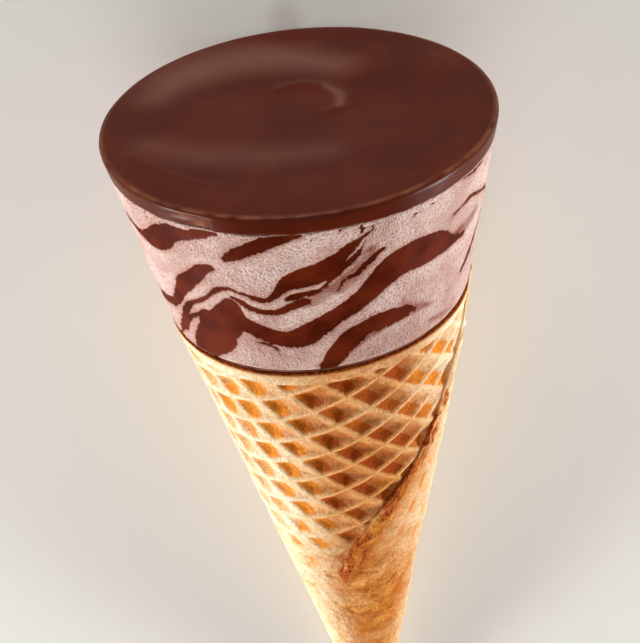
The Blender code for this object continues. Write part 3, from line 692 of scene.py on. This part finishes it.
# %% The sauce's strokes
SAUCE = {
    "upper_left": [
        (-68.1, 9.2, 0.44), (-62.1, 9.8, 0.81), (-57.0, 9.4, 1.44), (-51.9, 8.2, 2.12), (-48.1, 7.0, 2.12),
        (-44.3, 5.6, 1.62), (-40.5, 5.2, 1.06), (-36.1, 4.8, 0.88), (-31.7, 3.8, 0.88), (-27.9, 3.4, 0.38),
    ],
    "upper_streak": [
        (-26.2, 7.9, 0.56), (-22.2, 6.8, 1.12), (-17.7, 5.6, 1.19), (-13.3, 4.4, 1.12), (-8.9, 3.8, 0.88),
        (-4.1, 3.2, 0.56),
    ],
    "left_streak": [
        (-77.0, 23.4, 0.6), (-70.9, 22.8, 0.81), (-65.9, 22.4, 1.06), (-59.5, 21.8, 0.88), (-54.5, 19.9, 0.94),
        (-51.3, 17.9, 1.19), (-47.5, 15.8, 1.44), (-43.7, 14.2, 1.38), (-39.3, 12.5, 1.25), (-35.7, 11.0, 1.0),
        (-32.7, 10.3, 0.69),
    ],
    "wave": [
        (-66.9, 29.8, 0.38), (-62.3, 27.6, 0.62), (-58.3, 25.9, 0.81), (-55.5, 23.9, 0.81), (-52.6, 22.0, 0.88),
        (-48.8, 19.9, 0.75), (-45.0, 18.6, 0.5), (-40.5, 17.6, 0.31), (-36.7, 16.0, 0.31), (-33.6, 14.8, 0.38),
        (-31.0, 14.0, 0.44), (-28.5, 13.8, 0.44), (-26.0, 14.2, 0.44), (-23.4, 14.5, 0.38), (-21.3, 14.9, 0.38),
        (-19.0, 15.4, 0.44), (-16.5, 15.4, 0.5), (-14.3, 14.6, 0.56), (-12.9, 13.9, 0.56),
    ],
    "wave_branch": [
        (-57.0, 26.5, 0.31), (-54.2, 24.6, 0.38), (-51.9, 23.1, 0.5), (-48.8, 22.0, 0.62), (-46.2, 21.4, 0.5),
        (-44.0, 20.5, 0.25),
    ],
    "lens": [
        (-12.9, 13.9, 0.56), (-10.8, 12.6, 1.0), (-8.2, 11.7, 1.56), (-5.1, 11.3, 1.88), (-1.3, 10.9, 2.0),
        (2.5, 9.8, 1.69), (5.7, 8.5, 1.25), (8.9, 7.1, 0.88), (12.0, 5.9, 0.5), (15.2, 4.9, 0.19),
    ],
    "feather": [
        (14.2, 6.1, 0.19), (12.7, 7.4, 0.25), (11.4, 8.4, 0.44), (9.5, 9.3, 0.62), (7.3, 10.1, 0.56),
        (5.3, 11.2, 0.44), (3.3, 11.9, 0.38), (1.8, 13.1, 0.38), (-0.6, 14.0, 0.56), (-4.4, 14.5, 0.56),
        (-7.6, 14.6, 0.5), (-10.4, 15.2, 0.44),
    ],
    "feather_right": [
        (19.2, 8.7, 0.19), (17.1, 9.1, 0.38), (15.6, 9.9, 0.56), (13.7, 10.7, 0.5), (11.1, 11.9, 0.38),
        (8.2, 12.4, 0.31), (6.3, 13.1, 0.25), (4.8, 14.4, 0.19),
    ],
    "second_wave": [
        (-28.5, 15.4, 0.25), (-26.0, 15.9, 0.38), (-24.4, 16.8, 0.5), (-22.2, 17.4, 0.5), (-19.0, 17.9, 0.56),
        (-14.6, 17.8, 0.56), (-11.7, 17.2, 0.62), (-8.6, 16.4, 0.75), (-4.8, 16.0, 0.75),
    ],
    "blob": [
        (-29.5, 16.7, 0.88), (-30.1, 18.1, 2.0), (-31.7, 19.8, 2.88), (-35.5, 21.8, 3.12), (-39.9, 24.0, 3.12),
        (-44.3, 26.2, 2.94), (-48.1, 28.1, 2.62), (-51.3, 30.1, 2.25),
    ],
    "blob_foot": [(-39.5, 22.4, 3.2), (-36.6, 24.6, 2.55), (-41.5, 26.9, 1.9)],
    "band": [
        (-31.7, 20.0, 2.38), (-26.0, 20.8, 1.44), (-21.5, 22.0, 1.69), (-17.1, 23.0, 1.69), (-12.7, 23.4, 1.69),
        (-7.6, 22.8, 2.06), (-2.5, 21.4, 1.94), (2.5, 19.9, 1.62), (7.0, 18.8, 1.56), (11.4, 17.5, 1.75),
        (15.8, 15.8, 2.06), (19.6, 13.9, 2.38), (24.1, 12.4, 2.75), (29.8, 12.2, 2.88), (35.5, 12.6, 2.75),
        (39.9, 13.1, 2.38), (44.3, 13.9, 1.38), (49.1, 14.6, 0.69), (52.7, 14.7, 0.44),
    ],
    "lower": [
        (-1.0, 29.6, 1.5), (1.5, 27.8, 1.75), (4.4, 26.0, 1.88), (8.2, 24.4, 1.81), (12.7, 23.4, 1.69),
        (17.7, 23.0, 1.75), (22.8, 22.8, 1.62), (27.2, 22.9, 1.35), (31.0, 23.4, 0.6),
    ],
    "right_thread": [
        (44.1, 9.1, 0.25), (47.5, 8.7, 0.38), (50.7, 8.4, 0.38), (54.5, 8.2, 0.38), (58.3, 8.9, 0.38),
        (63.3, 10.0, 0.31), (69.7, 11.3, 0.3), (80.0, 13.4, 0.5), (96.0, 15.0, 0.9), (112.0, 14.2, 0.5),
    ],
    "right_streak": [
        (56.0, 23.0, 0.38), (58.9, 22.0, 0.69), (62.4, 20.6, 0.88), (65.9, 19.0, 0.75), (69.7, 17.6, 0.56),
        (78.0, 16.4, 0.5), (92.0, 19.5, 1.2), (108.0, 23.5, 1.8), (122.0, 24.4, 1.0),
    ],
    "crescent": [(-23.7, 24.3, 0.25), (-21.3, 24.4, 0.3), (-18.7, 24.8, 0.4), (-17.0, 25.8, 0.25)],
    "right_sliver": [(49.1, 3.4, 0.19), (52.6, 3.8, 0.25), (57.0, 3.9, 0.31), (60.2, 3.7, 0.19)],
    "back_band": [
        (-77.0, 23.4, 0.6), (-92.0, 21.0, 1.3), (-108.0, 17.5, 2.2), (-124.0, 15.0, 2.6), (-140.0, 15.5, 1.9),
        (-156.0, 19.0, 1.4), (-172.0, 22.0, 0.6),
    ],
    "back_blob": [(-82.0, 30.0, 1.4), (-98.0, 27.5, 2.2), (-114.0, 26.0, 1.6), (-130.0, 27.0, 0.6)],
    "back_top": [(-68.1, 9.2, 0.44), (-84.0, 8.0, 1.0), (-104.0, 6.0, 0.7), (-122.0, 5.5, 0.3)],
    "back_thread": [
        (-150.0, 8.0, 0.3), (-165.0, 10.5, 0.7), (-180.0, 12.0, 1.1), (-196.0, 11.0, 1.6), (-212.0, 8.5, 1.0),
        (-226.0, 7.5, 0.3),
    ],
    "back_lower": [
        (-166.0, 28.5, 0.8), (-182.0, 25.5, 1.8), (-198.0, 22.5, 2.2), (-214.0, 19.0, 1.4), (-228.0, 18.0, 0.4),
    ],
}
HAZE = {
    "right": [(46.6, 13.1, 0.5), (50.0, 13.3, 1.1), (54.5, 13.4, 1.4), (61.4, 13.0, 1.0)],
    "middle": [(-7.6, 15.8, 0.75), (-3.8, 16.0, 1.12), (-0.3, 15.4, 0.75)],
    "feathers": [(15.5, 8.2, 0.9), (13.0, 10.6, 1.3), (8.6, 12.8, 1.5), (3.5, 14.3, 1.3), (-3.0, 15.8, 1.0)],
    "lower_peak": [(26.2, 20.2, 0.4), (26.8, 21.4, 0.8), (28.5, 22.6, 1.2)],
    "lower_end": [(29.0, 22.9, 1.4), (33.5, 23.6, 1.0), (37.5, 24.2, 0.7), (41.0, 24.6, 0.35)],
    "near_mouth": [(38.0, 27.6, 0.5), (41.2, 28.0, 0.8), (47.5, 28.6, 0.7), (53.0, 29.1, 0.4)],
    "smear": [(-23.4, 23.5, 0.4), (-19.2, 24.0, 0.5)],
    "beside_lower": [(5.5, 27.9, 0.3), (9.4, 26.3, 0.7), (15.9, 24.9, 0.8), (25.2, 23.7, 0.5)],
    "between": [(1.5, 15.0, 0.6), (-3.0, 15.7, 0.8), (-8.5, 16.2, 0.6)],
}
print(len(SAUCE), "strokes of sauce")


# %% Sauce over the whole side
MIDDLE_RADIUS = 27.0
DEGREE_MM = math.radians(1.0) * MIDDLE_RADIUS


def to_strokes(theta, z, strokes):
    """Nearest stroke's distance in mm. A degree becomes mm at the filling's middle radius."""
    x = (90.0 - theta) * DEGREE_MM
    nearest = np.full(np.shape(x), 99.0)
    for stroke in strokes.values():
        flat = rounded([(a * DEGREE_MM, d, w) for a, d, w in stroke])
        for whole_turn in (-360.0, 0.0, 360.0):
            moved = x + whole_turn * DEGREE_MM
            nearest = np.minimum(nearest, strokes_distance(moved, z, flat))
    return nearest


CREAM_STEPS = 600
side_z = np.concatenate([np.linspace(3.3, 29.0, 96), np.linspace(29.2, 31.2, 9)])
THETA_C = np.broadcast_to(np.arange(CREAM_STEPS) * 360.0 / CREAM_STEPS, (len(side_z), CREAM_STEPS))
Z_C = np.broadcast_to(side_z[:, None], THETA_C.shape)
flat_spot = place(Z_C, filling_radius(Z_C), THETA_C) / MM
sauce_mm = to_strokes(THETA_C, Z_C, SAUCE) + 0.10 * lumps(flat_spot, 0.8, 51) + 0.2 * lumps(flat_spot, 2.2, 53)
crumbs = blend(0.25, 0.55, lumps(flat_spot, 0.5, 54))
crumbs = crumbs * (1.0 - blend(3.6, 5.6, Z_C + 0.8 * lumps(flat_spot, 3.5, 55)))
sauce_mm = np.where(crumbs > 0.5, -0.2, sauce_mm)
sauce_haze_and_shade = 0.95 * blend(0.5, -0.7, to_strokes(THETA_C, Z_C, HAZE)) * (0.7 + 0.3 * lumps(flat_spot, 1.5, 52))
# Cream darker towards the mouth is painted shade.
sauce_haze_and_shade = np.maximum(sauce_haze_and_shade, 0.2 * blend(14.0, 28.0, Z_C + 2.0 * lumps(flat_spot, 6.0, 56)))
print("share of the side that is sauce:", round(float((sauce_mm < 0.0).mean()), 2))

# %% The ice cream's mesh
def neck_at(z):
    return blend(29.7, 31.1, z)


neck = neck_at(Z_C)
at_mouth = MOUTH_RADIUS - LIP - LINING - 0.05
radius = filling_radius(Z_C) * (1.0 - neck) + at_mouth * neck
shown = 1.0 - blend(29.0, 30.6, Z_C)
uneven = 0.16 * lumps(flat_spot, 8.0, 61) + 0.06 * lumps(flat_spot, 1.8, 62) + 0.03 * lumps(flat_spot, 0.6, 63)
radius = radius + shown * uneven
radius = radius - shown * 0.10 * blend(0.25, -0.25, sauce_mm)
pores = blend(0.62, 0.85, lumps(flat_spot, 0.9, 64)) * blend(0.1, 0.6, sauce_mm)
radius = radius - shown * 0.14 * pores
side = place(Z_C, radius, THETA_C)
theta_ring = THETA_C[0]
top = [place(DISC_HEIGHT + 0.02, r, theta_ring) for r in (0.0, 14.0, 27.5)]
top.append(place(DISC_HEIGHT + 0.05, filling_radius(3.0) - 0.25, theta_ring))
inside_z = (MOUTH_Z + CHAMFER, 60.0, 90.0, HOLLOW_END_Z - LINING - 1.4)
inside = [place(z, hollow_radius(z) - LINING - 0.02, theta_ring) for z in inside_z]
end = HOLLOW_END_Z - LINING - 0.6
inside += [place(end, 1.2, theta_ring), place(end, 0.0, theta_ring)]
rings = np.stack(top + list(side) + inside)
marks = {
    "sauce_mm": padded_rows(sauce_mm, len(top), len(inside), 3.0),
    "sauce_haze_and_shade": padded_rows(sauce_haze_and_shade, len(top), len(inside)),
}
ice_cream = skin("rippled_ice_cream", rings, marks)
ice_cream.data.materials.append(cream_finish)

# %% [markdown]
# ## The chocolate lining
# Before filling, the wafer is sprayed with chocolate to keep it crisp. Only its edge shows, a thin
# uneven dark line that climbs a little onto the ice cream above the lip.

# %% The lining's mesh
LINING_STEPS = 480
theta_ring = np.arange(LINING_STEPS) * 360.0 / LINING_STEPS
round_lip = place(MOUTH_Z, MOUTH_RADIUS, theta_ring) / MM
climbs = 0.36 + 0.35 * lumps(round_lip, 3.2, 71) + 0.3 * lumps(round_lip, 1.1, 72)
top_z = MOUTH_Z - np.maximum(climbs, 0.02)
lip_r = MOUTH_RADIUS - LIP
beside = filling_radius(top_z) * (1.0 - neck_at(top_z)) + at_mouth * neck_at(top_z)
end = HOLLOW_END_Z - 0.05
rings = [place(end, 0.0, theta_ring), place(end, hollow_radius(end) - 0.9, theta_ring)]
rings += [place(z, hollow_radius(z) - 0.02, theta_ring) for z in (end - 0.7, 90.0, 60.0, MOUTH_Z + CHAMFER)]
upper_edge = [(MOUTH_Z + 0.1, lip_r + 0.03), (0.5 * (MOUTH_Z + top_z), lip_r + 0.15 - 0.1 * climbs)]
upper_edge += [(top_z + 0.08, beside + 0.14), (top_z - 0.02, beside + 0.02), (top_z + 0.1, beside - 0.3)]
rings += [place(z, r, theta_ring) for z, r in upper_edge]
rings += [place(z, hollow_radius(z) - LINING, theta_ring) for z in (MOUTH_Z + CHAMFER, 60.0, 90.0, end - 1.0)]
rings += [place(end - LINING, hollow_radius(end) - 1.2, theta_ring), place(end - LINING, 0.0, theta_ring)]
rings = np.stack(rings)
bare = np.zeros(rings.shape[:2])
# The whole lining takes the scraped chocolate's pale colour, painted light that lifts it out of the shade under
# the lip.
lining = skin("chocolate_lining_edge", rings, {"scrape_and_painted_light": bare + 0.95, "painted_sheen": bare})
lining.data.materials.append(lining_finish)

# %% [markdown]
# ## The chocolate disc
# The disc was poured, so its top is level and slightly dished, with a narrow bead where it met the
# mould. The nozzle left a curl near the middle and a low arc on the left. One place on the front
# edge is scraped, and there the broken chocolate is pale and rough.

# %% The disc's top
DISC_STEPS = 512
theta_ring = np.arange(DISC_STEPS) * 360.0 / DISC_STEPS
top_r = np.concatenate([np.linspace(0.0, 26.5, 56), np.linspace(26.9, 29.2, 14)])
R_D, THETA_D = np.meshgrid(top_r, theta_ring, indexing="ij")
X_D, Y_D = R_D * np.cos(np.radians(THETA_D)), R_D * np.sin(np.radians(THETA_D))
flat = np.stack([X_D, Y_D, np.zeros_like(X_D)], -1)
CURL = [
    (-2.0, -9.0, 0.0), (1.6, -9.6, 0.1), (4.8, -8.0, 0.3), (7.0, -4.6, 0.6), (6.6, -1.4, 0.5), (5.4, -0.2, 0.0),
]
ARC = [(-25.0, 7.0, 0.0), (-23.0, 9.9, 0.0), (-20.6, 12.9, 0.0), (-16.1, 17.0, 0.0), (-12.0, 19.5, 0.0)]
rise = 0.24 * np.exp(-(np.maximum(strokes_distance(X_D, Y_D, CURL), 0.0) / 1.1) ** 2)
rise = rise + 0.07 * np.exp(-(strokes_distance(X_D, Y_D, ARC) / 0.6) ** 2)
rise = rise + 0.16 * lumps(flat, 13.0, 81) + 0.05 * lumps(flat, 6.0, 82)
depth_d = 0.42 - 0.4 * blend(10.0, 29.2, R_D) - rise * (1.0 - blend(25.0, 28.8, R_D))
print("disc top lies between", round(float(depth_d.min()), 2), "and", round(float(depth_d.max()), 2), "mm deep")

# %% The disc's edge and side
edge_profile = [(0.02, 29.45), (0.10, 29.68), (0.26, 29.85), (0.5, 29.92), (0.9, 29.9)]
edge_profile += [(z, float(filling_radius(z)) + 0.06) for z in (1.2, 1.5, 1.8, 2.1, 2.4, 2.7)]
edge_profile += [(2.95, float(filling_radius(2.95)) + 0.04), (3.08, float(filling_radius(3.1)) - 0.2)]
foot = place(3.0, 29.4, theta_ring) / MM
hem = 0.14 * lumps(foot, 3.0, 83) + 0.08 * lumps(foot, 1.0, 84)
chip = blend(117.2, 118.8, theta_ring) * (1.0 - blend(124.0, 136.0, theta_ring))
rings = list(place(depth_d, R_D, THETA_D))
# The top's outermost row is a little paler, the start of the painted edge highlight.
scrape_and_painted_light = [np.zeros(DISC_STEPS)] * (len(rings) - 1) + [np.full(DISC_STEPS, 0.15)]
for z, r in edge_profile:
    at = place(z, r, theta_ring) / MM
    rough = lumps(at, 1.1, 85)
    taken = chip * blend(0.6, 1.4, z) * (0.28 + 0.16 * rough)
    drop = hem * blend(1.6, 2.8, z) - 0.35 * chip * blend(2.0, 2.8, z)
    wobble = 0.04 * lumps(at, 4.0, 86) + 0.02 * lumps(at, 1.2, 87)
    rings.append(place(z + drop, r - taken + wobble, theta_ring))
    # A thin pale line along the top edge is a painted highlight, where the rounded edge catches the light; the
    # chip beside it is real broken chocolate.
    painted_edge_highlight = 0.75 * np.exp(-((z - 0.12) / 0.12) ** 2) * (0.6 + 0.6 * lumps(at, 1.5, 88))
    scrape_and_painted_light.append(np.clip(chip * blend(0.5, 1.3, z) * (0.35 + 0.6 * rough) + painted_edge_highlight, 0.0, 1.0))
for r in (27.0, 14.0, 0.0):
    rings.append(place(DISC_HEIGHT + 0.01, r, theta_ring))
    scrape_and_painted_light.append(np.zeros(DISC_STEPS))
# Pale streaks on the top are painted sheen, a painted reflection of soft light.
PAINTED_SHEEN = [
    (0.62, 6.0, -3.5, [(-21.5, -11.0, 0.5), (-18.0, -17.0, 2.5), (-10.0, -21.0, 3.0), (-1.0, -20.0, 2.5),
                      (7.0, -15.0, 0.8)]),
    (0.30, 5.0, -2.5, [(-22.2, 5.1, 0.5), (-14.0, 10.0, 1.2), (-4.0, 12.4, 1.2), (4.0, 12.4, 0.3)]),
    (0.50, 1.0, -0.3, [(4.8, -8.2, 0.0), (7.0, -4.6, 0.5), (6.4, -1.4, 0.3)]),
]
painted_sheen = np.zeros_like(X_D)
for most, fades_at, full_at, stroke in PAINTED_SHEEN:
    painted_sheen = np.maximum(painted_sheen, most * blend(fades_at, full_at, strokes_distance(X_D, Y_D, rounded(stroke))))
painted_sheen_rows = padded_rows(painted_sheen, 0, len(rings) - len(painted_sheen))
disc = skin("poured_chocolate_disc", np.stack(rings), {"scrape_and_painted_light": np.stack(scrape_and_painted_light), "painted_sheen": painted_sheen_rows})
disc.data.materials.append(chocolate_finish)

# %% [markdown]
# ## Joining the frame
# Every finished piece rides on the one body, and the solid it replaces is hidden.

# %% Pieces ride and replace
for piece, node, slot in (
    (wafer, "wafer_cone", "wafer"),
    (ice_cream, "ice_cream", "ice_cream"),
    (lining, "chocolate_lining", "lining"),
    (disc, "chocolate_disc", "chocolate"),
):
    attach(piece, "root")
    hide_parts(node)
    print(piece.name, "stands for", node)

# %% [markdown]
# ## Stage, light and camera
# A pale floor. Two low soft boxes near the point's end brighten both flanks while the middle stays
# calmer, a weaker one lights the disc's side, and a broad panel overhead fills in. The world is
# quiet and a little warm, as light thrown back by a wafer is. The camera looks down on the lying
# cone as it would look at the upright one, from a little above the disc, so it stands over the
# disc's end.

# %% Floor and light
FLOOR_HALF, FLOOR_Z = 2.0, -0.0001
floor_mesh = bpy.data.meshes.new("floor")
corners = [(x * FLOOR_HALF, y * FLOOR_HALF, FLOOR_Z) for x, y in ((-1, -1), (1, -1), (1, 1), (-1, 1))]
floor_mesh.from_pydata(corners, [], [(0, 1, 2, 3)])
floor = into_scene("floor", floor_mesh)
floor_finish, tree, shader = finish_named("pale_painted_board")
board = add(tree, "TexNoise", {"Scale": 40.0, "Detail": 3.0})
paint = add(tree, "Mix", {0: board, 6: linear("#e4e1dc"), 7: linear("#e9e6e2")}, **COLOURS)
set_inputs(tree, shader, {"Base Color": paint, "Roughness": 0.8})
floor_mesh.materials.append(floor_finish)


def soft_box(name, location, target, size, power):
    data = bpy.data.lights.new(name, "AREA")
    data.shape = "RECTANGLE"
    data.size, data.size_y = size
    data.energy = power
    lamp = into_scene(name, data)
    lamp.location = location
    lamp.rotation_euler = (Vector(target) - Vector(location)).to_track_quat("-Z", "Y").to_euler()


for name, side, power in (("left_box", -1.0, 3.0), ("right_box", 1.0, 2.7)):
    soft_box(name, (0.42 * side, -0.20, 0.08), (0.0, 0.0, 0.03), (0.16, 0.10), power)
soft_box("front_box", (0.0, 0.5, 0.13), (0.0, 0.07, 0.03), (0.4, 0.15), 1.3)
sky_panel = bpy.data.lights.new("sky_panel", "SUN")
sky_panel.energy = 0.6
sky_panel.angle = math.radians(40.0)
overhead = into_scene("sky_panel", sky_panel)
overhead.rotation_euler = Vector((0.1, 0.30, -0.62)).to_track_quat("-Z", "Y").to_euler()
world = bpy.data.worlds.new("studio")
world.use_nodes = True
background = world.node_tree.nodes["Background"]
set_inputs(world.node_tree, background, {"Color": (1.0, 0.95, 0.9, 1.0), "Strength": 0.24})
bpy.context.scene.world = world
bpy.context.scene.view_settings.view_transform = "Standard"
print("three soft boxes, one broad panel overhead and a quiet world")

# %% The camera
PIXELS = (640, 643)
FOCAL_PIXELS = 1500.0
in_cone = np.array([(0.9912, 0.0770, 0.1081), (0.1327, -0.5750, -0.8074), (0.0, 0.8146, -0.5801)])
to_world = np.stack([RIGHT, UPWARD, AXIS])
turned_axes = in_cone @ to_world
eye = (TOP_CENTRE + np.array((-0.79, 200.9, -104.4)) @ to_world) * MM
camera_data = bpy.data.cameras.new("camera")
camera_data.sensor_width = 36.0
camera_data.lens = 36.0 * FOCAL_PIXELS / max(PIXELS)
camera_data.clip_start = 0.01
camera = into_scene("camera", camera_data)
stands = np.identity(4)
stands[:3, :3], stands[:3, 3] = turned_axes.T, eye
camera.matrix_world = Matrix(stands.tolist())
bpy.context.scene.camera = camera
print("camera at", [round(float(c), 3) for c in eye])
